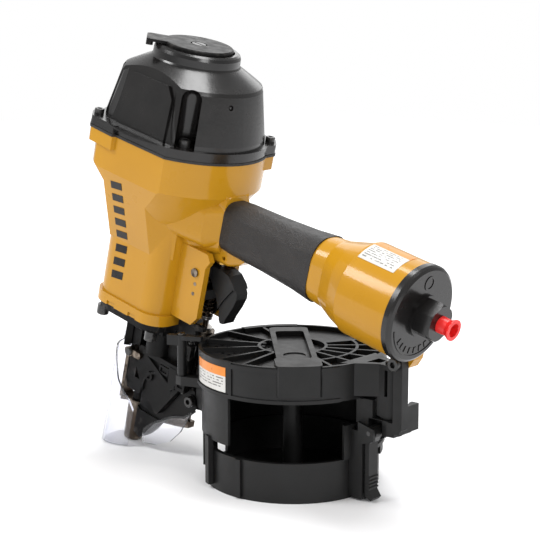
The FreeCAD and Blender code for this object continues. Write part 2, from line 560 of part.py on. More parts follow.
def nose_casting():
    plate = rounded_box(-40, 40, -40, 40, NOSE_TOP, NOSE_TOP + 7, 18)
    column = side_plate([(-15, NOSE_TOP + 1), (-15, 98), (-11, 95), (-11, 62), (-8, 53), (9, 53),
                         (24, NOSE_TOP + 1)],
                        -11, 11)
    snout = rod(6.0, 42, on_axis(14))
    block = side_plate([(10, 62), (44, 60), (60, 60), (72, 66), (72, 118), (40, 122), (30, NOSE_TOP + 1),
                        (10, NOSE_TOP + 1)], -13, 13)
    hood = ring_sector(16, 22.5, 94, NOSE_TOP + 1, 148, 230)
    ribs = [box(-36, 36, y - 2, y + 2, NOSE_TOP - 6, NOSE_TOP + 1) for y in (-20, 20)]
    shoulder = rod(12.5, NOSE_TOP + 1 - DOOR_TOP, Vector(25, -11.5, DOOR_TOP + 0.3))
    collar = revolved([(0, 116.5), (18, 116.5), (20, 119), (20, NOSE_TOP + 1), (0, NOSE_TOP + 1)])
    tail = side_plate([(12, 54), (11.5, 16), (20, 13), (27, 20.7), (36, 34.5), (57.5, 50.5), (66, 54.5),
                       (66, 90),
                       (20, 90)], -13, 3)
    skirt = side_plate([(20, 30), (27, 22), (36, 34.5), (57.5, 50.5), (71.8, 56.5), (80, 66), (83, 77),
                        (77, 86),
                        (60, 90), (20, 62)], -13, -9)
    eye = rod(6.2, 5, Vector(STRUT_U, -14, STRUT_W), Y)
    tower = side_plate([(44, 122), (60, 112), (72, 108), (74.5, 110), (74.5, 136), (74, 146), (66, 146),
                        (44, 144)],
                       -13, -9)
    knuckle = rod(4.2, DOOR_HIGH - DOOR_LOW - 26.6, Vector(DOOR_U, DOOR_Y, DOOR_LOW + 13.3))
    cheek = box(63.6, 70, -18, -12, DOOR_LOW + 13.3, DOOR_HIGH - 13.3)
    saddle = box(38, 70, 12, 20, FEED_W - 7, FEED_W + 7)
    body = fuse(plate, column, snout, block, hood, *ribs, shoulder, collar, tail, skirt, eye, tower, cheek,
                knuckle,
                saddle)
    drive = rod(DRIVE_BORE, 160, on_axis(0))
    throat = box(0, 90, -11, 3.5, 66.4, 114)
    door_seat = side_plate([(0, DOOR_TOP + 0.3), (0, 58), (14, 40), (40, 40), (64, 82),
                            (64, DOOR_TOP + 0.3)],
                           -20, -11)
    pawl_window = box(14, 40, 3, 14, FEED_W - 7, FEED_W + 7)
    rod_hole = rod(ROD_R + 0.15, 120, Vector(ROD_U, ROD_Y, 40))
    cylinder_bed = rod(FEED_OUT, 34, Vector(38, FEED_Y, FEED_W), X)
    hinge_hole = rod(1.5, 120, Vector(DOOR_U, DOOR_Y, 40))
    door_knuckles = [rod(6.0, 14.2, Vector(DOOR_U, DOOR_Y, w)) for w in (DOOR_LOW - 0.6, DOOR_HIGH - 13.3)]
    screws = [rod(2.9, 40, Vector(u, y, NOSE_TOP - 10)) for u, y in NOSE_SCREWS]
    strut_hole = rod(MAG_BOLT_R, 30, Vector(STRUT_U, -20, STRUT_W), Y)
    latch_hole = rod(2.0, 12, Vector(LATCH_U, -16, LATCH_W), Y)
    body = in_tool(cut(body, drive, throat, door_seat, pawl_window, rod_hole, cylinder_bed, hinge_hole,
                       *door_knuckles, *screws, strut_hole, latch_hole))
    canister_throat = box(-106.2, -60, PANEL_Y, THROAT_RIGHT + 5.2, 46.8, 113.2)
    save("nose_casting", cut(body, canister_throat, box(-88.2, -60, PANEL_Y - 5, PANEL_Y + 1, 40, 120)))


def nose_screws():
    down = Vector(0, 0, -1)
    save_group("nose_screws", [socket_screw(5.5, 9, 2.85, 28, Vector(u, y, NOSE_TOP), down)
                               for u, y in NOSE_SCREWS])


def nose_door():
    plate = side_plate([(15, 62), (36, 48), (41, 48), (63, 82), (63, DOOR_LOW), (57, DOOR_LOW),
                        (57, DOOR_TOP),
                        (6, DOOR_TOP), (4, DOOR_TOP - 3), (4, 80)], -15.5, -11.3)
    ridge = side_plate([(12.5, DOOR_TOP - 5), (13.5, DOOR_TOP), (57, DOOR_TOP), (57, DOOR_TOP - 5)],
                       -19, -15)
    slant = side_plate([(13, 94), (17, 97), (52, 80), (50, 76)], -18, -15)
    border = side_plate([(36, 48), (41, 48), (63, 82), (59, 84), (38, 53)], -18, -15)
    post = side_plate([(48, DOOR_TOP - 3), (58, DOOR_TOP - 3), (58, 80), (50, 76)], -19.5, -15)
    tall = box(57, 63, -19.5, -14, DOOR_LOW, DOOR_HIGH)
    knuckle_span = ((DOOR_LOW, DOOR_LOW + 13), (DOOR_HIGH - 13, DOOR_HIGH))
    knuckles = [rod(4.6, 13, Vector(DOOR_U, DOOR_Y, w0)) for w0, w1 in knuckle_span]
    pads = [box(DOOR_U - 6, DOOR_U + 5.2, -23.2, -18, w0, w1) for w0, w1 in knuckle_span]
    dents = [box(DOOR_U - 3.5, DOOR_U + 2.7, -24, -21.7, w0 + 3, w1 - 3) for w0, w1 in knuckle_span]
    face = side_plate([(17, 63), (36, 51), (40, 51), (60, 81), (57, 87), (17, 87)], -18.5, -15)
    arc = tube(20, 18, 2.6, Vector(36, -17.6, 66), Y).common(face)
    boss = rod(4.4, 2.6, Vector(23, -17.6, 78), Y).cut(rod(2.4, 1.6, Vector(23, -17.7, 78), Y))
    frame = box(34, 46, -17.2, -15, 87, 95).cut(box(36, 44, -17.3, -16, 89, 93))
    body = fuse(plate, ridge, slant, border, post, tall, arc, boss, frame, *knuckles, *pads)
    pin = rod(1.55, 120, Vector(DOOR_U, DOOR_Y, 40))
    rest = box(50, 63.2, -25, -10, DOOR_LOW + 13, DOOR_HIGH - 13).cut(box(50, 58, -25, -10, 0, DOOR_TOP))
    casting_knuckle = rod(4.5, DOOR_HIGH - DOOR_LOW - 26, Vector(DOOR_U, DOOR_Y, DOOR_LOW + 13))
    save("nose_door", in_tool(cut(body, pin, casting_knuckle, *dents)))


def door_pin():
    pin = rod(1.5, 57, Vector(DOOR_U, DOOR_Y, DOOR_LOW - 3))
    head = rod(3.0, 1.8, Vector(DOOR_U, DOOR_Y, DOOR_HIGH + 0.5))
    save("door_hinge_pin", in_tool(fuse(pin, head)))


def door_latch():
    """A turn button on the side of the nose whose bar lies over the door's front edge."""
    hub = rod(4.6, 8.2, Vector(LATCH_U, -19.5, LATCH_W), Y)
    bar = box(LATCH_U - 6, 10.5, -19.5, -15.9, LATCH_W - 3, LATCH_W + 3)
    bar = rounded(bar, 2.5, along_y)
    hole = rod(2.05, 30, Vector(LATCH_U, -40, LATCH_W), Y)
    save("door_latch", in_tool(cut(fuse(hub, bar), hole)))


def latch_screw():
    shank = rod(2.0, 12.8, Vector(LATCH_U, -20.0, LATCH_W), Y)
    head = revolved([(0, 0), (4.0, 0), (4.0, 1.2), (3.2, 2.2), (0, 2.2)], Vector(LATCH_U, -19.6, LATCH_W),
                    Vector(0, -1, 0))
    save("latch_screw", in_tool(fuse(shank, head)))


def contact_arm():
    """Spring loaded arm: the tubular tip, its half round guard and the rod that runs up to the trigger."""
    tip = revolved([(TIP_IN, 2), (8.2, 2), (8.8, 3.5), (9.4, 30), (9.4, 42), (TIP_IN, 42)])
    teeth = [box(-1.1, 1.1, -12, 12, 0, 4.2), box(-12, 12, -1.1, 1.1, 0, 4.2)]
    guard = ring_sector(16.2, 18.8, 42, 84, 150, 228)
    web = ring_sector(8.5, 17.5, 38, 42, 160, 222)
    windows = [turned(box(14, 22, -2.5, 2.5, 52, 68), a) for a in (165, 185)]
    yoke = side_plate([(4, 24), (34, 30), (56, 36), (62, 38), (62, 44), (54, 43), (32, 38), (4, 32)],
                      4.6, 12)
    yoke = cut(yoke, rod(TIP_IN, 40, on_axis(10)))
    post = rod(ROD_R, 136.5, Vector(ROD_U, ROD_Y, 40))
    body = cut(fuse(tip, guard, web, yoke, post), *windows)
    save("contact_arm", in_tool(cut(body, *teeth)))


def arm_collar():
    save("arm_collar", in_tool(tube(5.4, ROD_R, 3, Vector(ROD_U, ROD_Y, 146))))


def arm_spring():
    save("arm_spring", in_tool(coil_spring(4.4, 0.7, 3.9, 20.4, Vector(ROD_U, ROD_Y, 150.2))))


def depth_wheel():
    wheel = tube(9.5, ROD_R + 0.05, 8, Vector(ROD_U, ROD_Y, 127))
    notches = [turned(box(8.9, 12, -0.6, 0.6, 120, 140), 20 * i, ORIGIN, Z).translated(
               Vector(ROD_U, ROD_Y, 0))
               for i in range(18)]
    save("depth_wheel", in_tool(cut(wheel, *notches)))


def depth_stop():
    ring = tube(6.5, ROD_R, 3, Vector(ROD_U, ROD_Y, 135.3))
    save("depth_stop", in_tool(ring))


def feed_cylinder():
    body = rod(FEED_OUT, 32, Vector(39, FEED_Y, FEED_W), X)
    bore = rod(FEED_IN, 26, Vector(42, FEED_Y, FEED_W), X)
    rod_hole = rod(3.05, 20, Vector(30, FEED_Y, FEED_W), X)
    nut = rod(5, 3, Vector(71, FEED_Y, FEED_W), X)
    save("feed_cylinder", in_tool(cut(fuse(body, nut), bore, rod_hole)))


def feed_piston():
    piston = rod(FEED_IN - 0.05, 6, Vector(43.5, FEED_Y, FEED_W), X)
    stem = rod(3.0, 18, Vector(27, FEED_Y, FEED_W), X)
    carrier = box(17.5, 28.5, 17, 27.5, FEED_W - 5.5, FEED_W + 5.5)
    gap = box(16, 26.5, 15, 24.5, FEED_W - 2.4, FEED_W + 2.4)
    pin = rod(1.5, 30, Vector(22, 20.5, FEED_W - 15))
    save("feed_piston", in_tool(cut(fuse(piston, stem, carrier), gap, pin)))


def feed_spring():
    save("feed_spring", in_tool(coil_spring(5.4, 0.8, 3.4, 16.4, Vector(50.4, FEED_Y, FEED_W), X)))


def feed_pawl():
    plate = flat_plate([(18.6, 24), (25, 24), (25.6, 20), (24, 9), (20.5, 4.2), (16.4, 4.2), (17.5, 10)],
                       FEED_W - 2, FEED_W + 2)
    save("feed_pawl", in_tool(cut(plate, rod(1.55, 30, Vector(22, 20.5, FEED_W - 15)))))


def pawl_pin():
    save("pawl_pin", in_tool(rod(1.5, 12, Vector(22, 20.5, FEED_W - 6))))


def front_shield():
    """Clear guard that wraps the front and left of the nose and the contact tip."""
    sheet = ring_sector(27.0, 28.8, -10, 92, 125, 306)
    keep = side_plate([(-40, -12), (30, -12), (22, 30), (12, 50), (-4, 66), (-18, 92), (-40, 92)], -40, 40)
    tab = ring_sector(22.5, 28.8, 94, 100, 172, 188)
    strap = ring_sector(27.0, 28.8, 84, 100, 172, 188)
    sheet = in_tool(fuse(sheet.common(keep), strap, tab))
    save("front_shield", sheet.cut(box(-300, 0, -100, 100, -40, 1.5)))


def rear_shield():
    """Clear guard under the side of the nose."""
    outline = [(24, 24), (36, 37), (57, 53), (71, 59), (79, 66), (76, 58), (70, 42), (60, 28), (44, 17),
               (28, 12)]
    sheet = side_plate(outline, -15, -13)
    save("rear_shield", in_tool(sheet))


# ---------------------------------------------------------------- nail canister (row frame)


def magazine_housing():
    wall = fuse(ring_sector(WALL_IN, WALL_OUT, 36, WALL_TOP, 5, 210),
                ring_sector(WALL_IN, WALL_OUT, 44, WALL_TOP, 205, 268),
                ring_sector(WALL_IN, WALL_OUT, 27, 37, 24, 196))
    lip = ring_sector(WALL_IN, WALL_OUT + 1.6, 36, 39, 5, 209)
    throat = fuse(box(-106, -72, THROAT_LEFT - 5, THROAT_LEFT, 60, 112),
                  box(-106, -72, THROAT_RIGHT, THROAT_RIGHT + 5, 62.5, 104),
                  box(-106, -72, THROAT_LEFT - 5, THROAT_RIGHT + 5, 100, 104))
    lug = box(-100, -72, -24.7, -14, 47, 63)
    panel = side_plate([(-88, 60), (-88, 112), (-64, 112), (-60, 36), (-66, 36), (-86, 52)], PANEL_Y - 4,
                       PANEL_Y)
    bracket = flat_plate([(-66, -34), (-80, -43), (-89, -48), (-88, -54), (-81, -55), (-60, -48)], 77, 85)
    rails = [ring_sector(WALL_IN, WALL_OUT + 2, 4, 46, a, a + 5) for a in (90, 204, 244)]
    post = ring_sector(WALL_IN, WALL_OUT, 34.6, 64, 344, 366)
    block = fuse(box(70, 92, -6, 18, 58, 85.6), box(70, 114, -6, 18, 58, HINGE_LOW - 0.4))
    knuckle = rod(9, 14, Vector(HINGE_X, HINGE_Y, HINGE_LOW - 0.4 - 14))
    riser = side_plate([(108, 60), (118, 62), (123, 66), (123, 118), (122, 126), (120, 129), (112, 129),
                        (109.5, 118),
                        (114, 116), (114, HINGE_LOW - 0.4), (108, HINGE_LOW - 0.4)], -8, 0.6)
    brace = box(114, 121, -8, 18, 62, 84)
    leg = box(70, 88, -14, 2, 2, 60)
    ears = [side_plate([(84, 48), (100, 54), (100, 64), (84, 68)], y0, y1) for y0,
            y1 in ((-15, -12.3), (0.3, 3))]
    outside = fuse(throat, lug, panel, bracket, block, knuckle, riser, brace, leg, *ears)
    outside = outside.cut(rod(WALL_IN, 200, Vector(0, 0, -10)))
    above_band = rod(COVER_R + 2.2, 60, Vector(0, 0, WALL_TOP))
    body = fuse(outside.cut(above_band), wall, lip, *rails, post)
    mouth = box(-110, -60, THROAT_LEFT, THROAT_RIGHT, 64, 100)
    nose_gap = in_tool(box(-20, 72.3, -60, 60, 20, 140))
    door_gap = in_tool(rod(8.8, 60, Vector(DOOR_U, DOOR_Y, 60)))
    cylinder_gap = in_tool(rod(FEED_OUT + 1, 50, Vector(30, FEED_Y, FEED_W), X))
    hinge_hole = rod(3.0, 60, Vector(HINGE_X, HINGE_Y, HINGE_LOW - 12))
    latch_hole = rod(2.0, 20, Vector(LATCH_X, LATCH_Y, 70))
    window = box(60, 100, -11.2, -0.8, 8, 30)
    pin_hole = rod(2.0, 40, Vector(TRAY_LATCH_X, -20, TRAY_LATCH_Z), Y)
    lever_room = box(88, 102, -12.3, 0.3, 2, 70)
    strut_hole = rod(MAG_BOLT_R, 40, Vector(STRUT_X, -40, STRUT_Z), Y)
    hang_hole = rod(MAG_BOLT_R, 40, Vector(HANG_X, -20, HANG_Z), Y)
    swing_room = rod(13.8, 46, Vector(HINGE_X, HINGE_Y, HINGE_LOW - 0.4))
    body = cut(body, swing_room, mouth, nose_gap, door_gap, cylinder_gap, hinge_hole, latch_hole, window,
               pin_hole,
               lever_room, strut_hole, hang_hole)
    save("magazine_housing", body)


def magazine_bolts():
    left = Vector(0, -1, 0)
    shank = MAG_BOLT_R - 0.03
    save("strut_bolt", socket_screw(5.0, 4.5, shank, 18, Vector(STRUT_X, TOOL_Y - 14, STRUT_Z), left))
    save("hanger_bolt", socket_screw(5.4, 4.5, shank, 23, Vector(HANG_X, -8, HANG_Z), left))
    nut = Part.Face(Part.makePolygon([Vector(5.8 * math.cos(a), 5.8 * math.sin(a), 0) for a in
                                      [i * math.pi / 3 for i in range(7)]])).extrude(Vector(0, 0, 4))
    nut = nut.cut(rod(MAG_BOLT_R, 10, Vector(0, 0, -1)))
    nut.Placement = FreeCAD.Placement(Vector(HANG_X, 13, HANG_Z), FreeCAD.Rotation(Z, Y))
    save("hanger_nut", nut)


def magazine_cover():
    band = tube(COVER_R, COVER_R - 3, COVER_TOP - BAND_BOTTOM, Vector(0, 0, BAND_BOTTOM))
    deck = rod(COVER_R - 1, 3, Vector(0, 0, 109))
    ring = tube(30, 27.5, 6, Vector(0, 0, 110.4))
    spokes = [turned(box(28, COVER_R - 1, -1.3, 1.3, 110.4, COVER_TOP), a)
              for a in (-100, -80, -25, -8, 9, 26, 43, 62)]
    hoop = ring_sector(54, 56.5, 110.4, COVER_TOP, -38, 62)
    left_ribs = [turned(box(24, COVER_R - 1, -1.2, 1.2, 110.4, COVER_TOP), a) for a in (152, 178, 204, 230)]
    pad = turned(rounded_box(-62, 64, -17, 17, 110, 118.2, 6), PAD_TURN, Vector(0, 0, 0))
    pocket = turned(rounded_box(-46, 54, -12.5, 12.5, 113.2, 121, 4), PAD_TURN)
    bulge = turned(rounded_box(50, 84, -19, 19, 92, 118.2, 8), PAD_TURN)
    bulge = bulge.common(rod(COVER_R + 2.6, 40, Vector(0, 0, 90)))
    ridge = ring_sector(74, COVER_R, 112, COVER_TOP + 0.5, 128, 166)
    arm = flat_plate([(70, -21), (70, 25), (96, 15.0), (103, 15.0), (103, -3.0), (96, -3.0)], 89, COVER_TOP)
    knuckle = rod(9, COVER_TOP - HINGE_LOW, Vector(HINGE_X, HINGE_Y, HINGE_LOW))
    gusset = side_plate([(80, BAND_BOTTOM), (94, HINGE_LOW + 2), (HINGE_X, HINGE_LOW), (HINGE_X, 100),
                         (80, 100)],
                        HINGE_Y - 9, HINGE_Y + 9)
    gusset = gusset.cut(rod(WALL_OUT + 16, 30, Vector(0, 0, 60)))
    rib = ring_sector(COVER_R - 1, COVER_R + 1.2, BAND_BOTTOM, COVER_TOP, -89, -87)
    lower_hem = ring_sector(COVER_R - 1, COVER_R + 1.2, BAND_BOTTOM, BAND_BOTTOM + 3, -130, -20)
    frame_hem = ring_sector(COVER_R - 1, COVER_R + 1.2, COVER_TOP - 5, COVER_TOP - 1, -89, -20)
    body = fuse(band, deck, ring, *spokes, hoop, *left_ribs, pad, bulge, ridge, arm, gusset, knuckle, rib,
                lower_hem,
                frame_hem)
    inner = rod(COVER_R - 3, 60, Vector(0, 0, 49))
    stub = rod(9.6, 3, Vector(16, -16, 112.2))
    grid = [box(x, x + 3.4, y, y + 3.4, 100, 112.2) for x in range(-66, -20, 7) for y in range(-50, 4, 7)
            if math.hypot(x + 1.7, y + 1.7) < 70 and abs(x + y + 3.4) / math.sqrt(2) > 0
            and (x + y) / math.sqrt(2) < -21]
    window = ring_sector(70, 90, 80, 106, 184, 199)
    pin = rod(3.1, 60, Vector(HINGE_X, HINGE_Y, HINGE_LOW - 1))
    arm_pocket = flat_plate([(84, 12), (84, -4), (94, 1), (94, 10)], 112.5, 120)
    slot = flat_plate([(101.5, -4.5), (104.5, -4.5), (104.5, 1), (101.5, 1)], 90, 112)
    body = cut(body, inner, pocket, *grid, window, pin, arm_pocket, slot, stub)
    save("magazine_cover", body)


def cover_hinge_pin():
    pin = rod(3.0, COVER_TOP + 0.3 - HINGE_LOW + 11, Vector(HINGE_X, HINGE_Y, HINGE_LOW - 11))
    head = revolved([(0, 0), (6.2, 0), (6.2, 1.4), (5.2, 2.2), (0, 2.2)],
                    Vector(HINGE_X, HINGE_Y, COVER_TOP + 0.3))
    save("cover_hinge_pin", fuse(pin, head))


def cover_latch():
    """A post beside the cover whose finger lies over the cover's rim."""
    post = rod(4.2, 35.7, Vector(LATCH_X, LATCH_Y, 85.3))
    finger = flat_plate([(LATCH_X - 2, LATCH_Y - 4.2), (LATCH_X + 6, LATCH_Y - 3), (-65, -46),
                         (-66.5, -41.5),
                         (LATCH_X - 2, LATCH_Y + 4.2)], COVER_TOP + 0.8, 121)
    thumb = flat_plate([(LATCH_X - 3.5, LATCH_Y + 2), (LATCH_X - 11.5, LATCH_Y - 3),
                        (LATCH_X - 10.5, LATCH_Y - 8),
                        (LATCH_X, LATCH_Y - 4.1)], 112, 121)
    body = fuse(post, finger, thumb)
    save("cover_latch", cut(body, rod(2.05, 60, Vector(LATCH_X, LATCH_Y, 80))))


def cover_latch_pin():
    pin = rod(2.0, 44.3, Vector(LATCH_X, LATCH_Y, 77))
    head = revolved([(0, 0), (3.8, 0), (3.8, 1), (2.8, 1.8), (0, 1.8)], Vector(LATCH_X, LATCH_Y, 121.3))
    save("cover_latch_pin", fuse(pin, head))


def nail_tray():
    floor = rod(BASE_R, 3)
    wall = tube(BASE_R, BASE_R - 3, TRAY_H)
    rim = tube(BASE_R, BASE_R - 4.2, 3, Vector(0, 0, TRAY_H - 3))
    post = rod(8.5, 78)
    post_foot = rod(14, 5)
    spokes = [turned(box(10, BASE_R - 2, -1.5, 1.5, 2, 5.5), 60 * i + 15) for i in range(6)]
    rib = ring_sector(BASE_R - 0.5, BASE_R + 2.6, 1.5, TRAY_H, 272.5, 277)
    body = fuse(floor, wall, rim, post, post_foot, *spokes, rib)
    bore = rod(5.5, 74, Vector(0, 0, 6))
    notch = box(-90, -60, THROAT_LEFT - 2, THROAT_RIGHT + 2, 8, 40)
    slot = box(60, 90, -11.2, -0.8, -1, 27)
    underside = [ring_sector(20, 66, -1, 1.2, 60 * i + 5, 60 * i + 55) for i in range(6)]
    save("nail_tray", cut(body, bore, notch, slot, *underside))


def tray_latch():
    lever = box(89.0, 93.5, -11.8, -0.2, 10, 56)
    head = rod(5.6, 11.6, Vector(TRAY_LATCH_X, -11.8, TRAY_LATCH_Z), Y)
    neck = side_plate([(89.0, 52), (93.5, 50), (100, 58), (91, 63)], -11.8, -0.2)
    hook = box(73.0, 91, -10, -2, 20, 24)
    tab = side_plate([(89, 10), (93.5, 10), (97.5, 4), (95.5, 1.5), (89.0, 5)], -11.8, -0.2)
    grips = [rod(0.9, 11.6, Vector(93.7, -11.8, z), Y) for z in (12, 15, 18, 21)]
    body = fuse(lever, head, neck, hook, tab, *grips)
    save("tray_latch", cut(body, rod(2.05, 40, Vector(TRAY_LATCH_X, -20, TRAY_LATCH_Z), Y)))


def tray_latch_pin():
    save("tray_latch_pin", rod(2.0, 18.4, Vector(TRAY_LATCH_X, -15.2, TRAY_LATCH_Z), Y))


# ---------------------------------------------------------------- labels
def labels():
    save("magazine_label", ring_sector(COVER_R, COVER_R + 0.3, 90, 111, 234, 268))
    band = ring_sector(RESERVOIR_R, RESERVOIR_R + 0.3, 0, 36, 175, 217)
    band.rotate(ORIGIN, Y, 90)
    band.translate(Vector(228, 0, HANDLE_W))
    save("reservoir_label", in_tool(band))


def side_stripes():
    """Slanted bars up the left of the barrel, the upper ones on the cheek that leans out to the head."""
    side = -BARREL_HALF
    slope = math.degrees(math.atan2(HEAD_FLAT - BARREL_HALF, CHEEK_HIGH - CHEEK_LOW))
    bars = []
    for w in (163, 175.5, 188, 202, 214.5, 227, 239.5, 252):
        bar = side_plate([(-20, w), (-6, w + 2), (-6, w + 9), (-20, w + 7)], side - 0.3, side)
        bars.append(turned(bar, slope, Vector(0, side, CHEEK_LOW), X) if w > CHEEK_LOW else bar)
    save_group("side_stripes", bars)


main_housing()
cap_gasket()
cylinder_cap()
cap_screws()
exhaust_deflector()
deflector_screw()
cylinder_sleeve()
piston_driver()
piston_ring()
bumper()
head_valve()
head_valve_spring()
grip()
end_cap()
end_cap_seal()
inlet_fitting()
inlet_plug()
trigger()
trigger_pin()
guide_pins()
valve_body()
valve_stem()
valve_spring()
arm_guide()
nose_casting()
nose_screws()
nose_door()
door_pin()
door_latch()
latch_screw()
contact_arm()
arm_collar()
arm_spring()
depth_wheel()
depth_stop()
feed_cylinder()
feed_piston()
feed_spring()
feed_pawl()
pawl_pin()
front_shield()
rear_shield()
magazine_housing()
magazine_bolts()
magazine_cover()
cover_hinge_pin()
cover_latch()
cover_latch_pin()
nail_tray()
tray_latch()
tray_latch_pin()
labels()
side_stripes()
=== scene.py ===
"""Looks of the pneumatic coil nail gun, in metres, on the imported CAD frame."""
import json
import math

import bpy
from mathutils import Matrix, Vector

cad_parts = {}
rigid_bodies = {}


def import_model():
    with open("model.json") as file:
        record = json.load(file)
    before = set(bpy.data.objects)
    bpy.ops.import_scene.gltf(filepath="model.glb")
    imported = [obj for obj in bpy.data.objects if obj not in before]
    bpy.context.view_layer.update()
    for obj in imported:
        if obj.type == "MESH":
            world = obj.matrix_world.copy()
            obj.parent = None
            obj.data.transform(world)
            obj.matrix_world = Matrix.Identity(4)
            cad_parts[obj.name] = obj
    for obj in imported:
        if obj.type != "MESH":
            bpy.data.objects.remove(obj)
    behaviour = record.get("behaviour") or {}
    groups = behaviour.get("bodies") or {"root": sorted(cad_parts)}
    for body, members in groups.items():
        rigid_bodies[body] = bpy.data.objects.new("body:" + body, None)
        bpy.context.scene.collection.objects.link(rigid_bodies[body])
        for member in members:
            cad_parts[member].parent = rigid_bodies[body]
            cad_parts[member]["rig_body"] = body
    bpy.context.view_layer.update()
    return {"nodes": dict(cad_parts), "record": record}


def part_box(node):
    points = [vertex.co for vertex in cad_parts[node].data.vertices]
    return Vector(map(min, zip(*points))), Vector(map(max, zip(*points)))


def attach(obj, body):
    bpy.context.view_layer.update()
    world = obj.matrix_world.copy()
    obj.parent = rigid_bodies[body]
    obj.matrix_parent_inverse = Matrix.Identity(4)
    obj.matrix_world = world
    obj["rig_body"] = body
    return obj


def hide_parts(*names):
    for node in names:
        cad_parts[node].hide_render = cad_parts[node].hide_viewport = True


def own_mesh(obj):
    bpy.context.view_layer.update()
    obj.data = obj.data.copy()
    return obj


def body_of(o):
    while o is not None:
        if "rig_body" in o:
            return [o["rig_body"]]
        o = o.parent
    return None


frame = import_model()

NODES = frame["nodes"]

LEAN = math.radians(14)         # driver axis off vertical; the handle drops by as much towards its end
DASH_SHARE = 0.42               # printed part of each row's pitch on a label
PRINT_STRENGTH = 0.85
FLOOR_SIZE = 6.0
WORLD_LIGHT = 0.6               # brightness of the white surround where it lights the tool
WORLD_SEEN = 1.0                # and where the camera sees it


# ---------------------------------------------------------------- material nodes
def linear(r, g, b):
    """0 to 255 display values as the linear colour that the shader takes."""
    def one(v):
        v /= 255
        return v / 12.92 if v <= 0.04045 else ((v + 0.055) / 1.055) ** 2.4
    return (one(r), one(g), one(b), 1)


class Shader:
    """A material's node tree, with short calls for the nodes that the looks are made of."""

    def __init__(self, name):
        self.material = bpy.data.materials.new(name)
        self.material.use_nodes = True
        self.tree = self.material.node_tree
        self.bsdf = self.tree.nodes["Principled BSDF"]
        self.place = self.tree.nodes.new("ShaderNodeTexCoord").outputs["Object"]

    def set(self, **values):
        """Sets sockets of the shader: roughness=0.4 sets Roughness, coat_weight=0.2 sets Coat Weight."""
        names = {"ior": "IOR", "specular_ior_level": "Specular IOR Level"}
        for key, value in values.items():
            self.bsdf.inputs[names.get(key, key.replace("_", " ").title())].default_value = value

    def node(self, kind, **inputs):
        node = self.tree.nodes.new(kind)
        for key, value in inputs.items():
            self.feed(node.inputs[key.replace("_", " ")], value)
        return node

    def feed(self, socket, value):
        if isinstance(value, bpy.types.NodeSocket):
            self.tree.links.new(value, socket)
        else:
            socket.default_value = value

    def stretched(self, scale):
        """Object coordinates with that scale on each axis."""
        return self.node("ShaderNodeMapping", Vector=self.place, Scale=scale).outputs["Vector"]

    def noise(self, scale, detail=4.0, rough=0.55, place=None):
        node = self.node("ShaderNodeTexNoise", Vector=place or self.place, Scale=scale, Detail=detail,
                         Roughness=rough)
        return node.outputs["Fac"]

    def cells(self, scale):
        return self.node("ShaderNodeTexVoronoi", Vector=self.place, Scale=scale).outputs["Distance"]

    def ramp(self, value, low, high, to_low=0.0, to_high=1.0):
        """Maps low..high of value onto to_low..to_high, held at the ends."""
        node = self.node("ShaderNodeMapRange", Value=value, From_Min=low, From_Max=high, To_Min=to_low,
                         To_Max=to_high)
        return node.outputs["Result"]

    def mix(self, factor, a, b):
        node = self.tree.nodes.new("ShaderNodeMix")
        node.data_type = "RGBA"
        self.feed(node.inputs[0], factor)
        self.feed(node.inputs[6], a)
        self.feed(node.inputs[7], b)
        return node.outputs[2]

    def math(self, how, a, b=0.0):
        node = self.tree.nodes.new("ShaderNodeMath")
        node.operation = how
        self.feed(node.inputs[0], a)
        self.feed(node.inputs[1], b)
        return node.outputs[0]

    def edges(self, low=0.52, high=0.6):
        """Near 1 on sharp outer edges, 0 elsewhere."""
        geometry = self.tree.nodes.new("ShaderNodeNewGeometry")
        return self.ramp(geometry.outputs["Pointiness"], low, high)

    def bump(self, *layers):
        """Stacks (height, distance in metres, strength) layers onto the shader's normal."""
        normal = None
        for height, distance, strength in layers:
            node = self.node("ShaderNodeBump", Height=height, Distance=distance, Strength=strength)
            if normal is not None:
                self.tree.links.new(normal, node.inputs["Normal"])
            normal = node.outputs["Normal"]
        self.tree.links.new(normal, self.bsdf.inputs["Normal"])

    def along(self, direction, offset=0.0):
        """Distance of the point along that direction, plus offset."""
        node = self.tree.nodes.new("ShaderNodeVectorMath")
        node.operation = "DOT_PRODUCT"
        self.feed(node.inputs[0], self.place)
        self.feed(node.inputs[1], direction)
        return self.math("ADD", node.outputs["Value"], offset)

    def within(self, value, low, high):
        """1 where low < value < high."""
        above = self.math("GREATER_THAN", value, low)
        below = self.math("LESS_THAN", value, high)
        return self.math("MULTIPLY", above, below)

    def colour(self, value):
        self.feed(self.bsdf.inputs["Base Color"], value)

    def roughness(self, value):
        self.feed(self.bsdf.inputs["Roughness"], value)


def scratches(s, scale=60.0):
    """Thin lines in three directions, 1 in a scratch and 0 elsewhere."""
    lines = None
    for turn in (0.3, 1.4, 2.5):
        turned = s.node("ShaderNodeMapping", Vector=s.place, Rotation=(turn, turn * 0.7, turn),
                        Scale=(scale * 12, scale * 0.4, scale)).outputs["Vector"]
        line = s.ramp(s.noise(1.0, 2.0, 0.5, turned), 0.69, 0.74)
        lines = line if lines is None else s.math("MAXIMUM", lines, line)
    patch = s.ramp(s.noise(18.0, 2.0), 0.48, 0.62)
    return s.math("MULTIPLY", lines, patch)


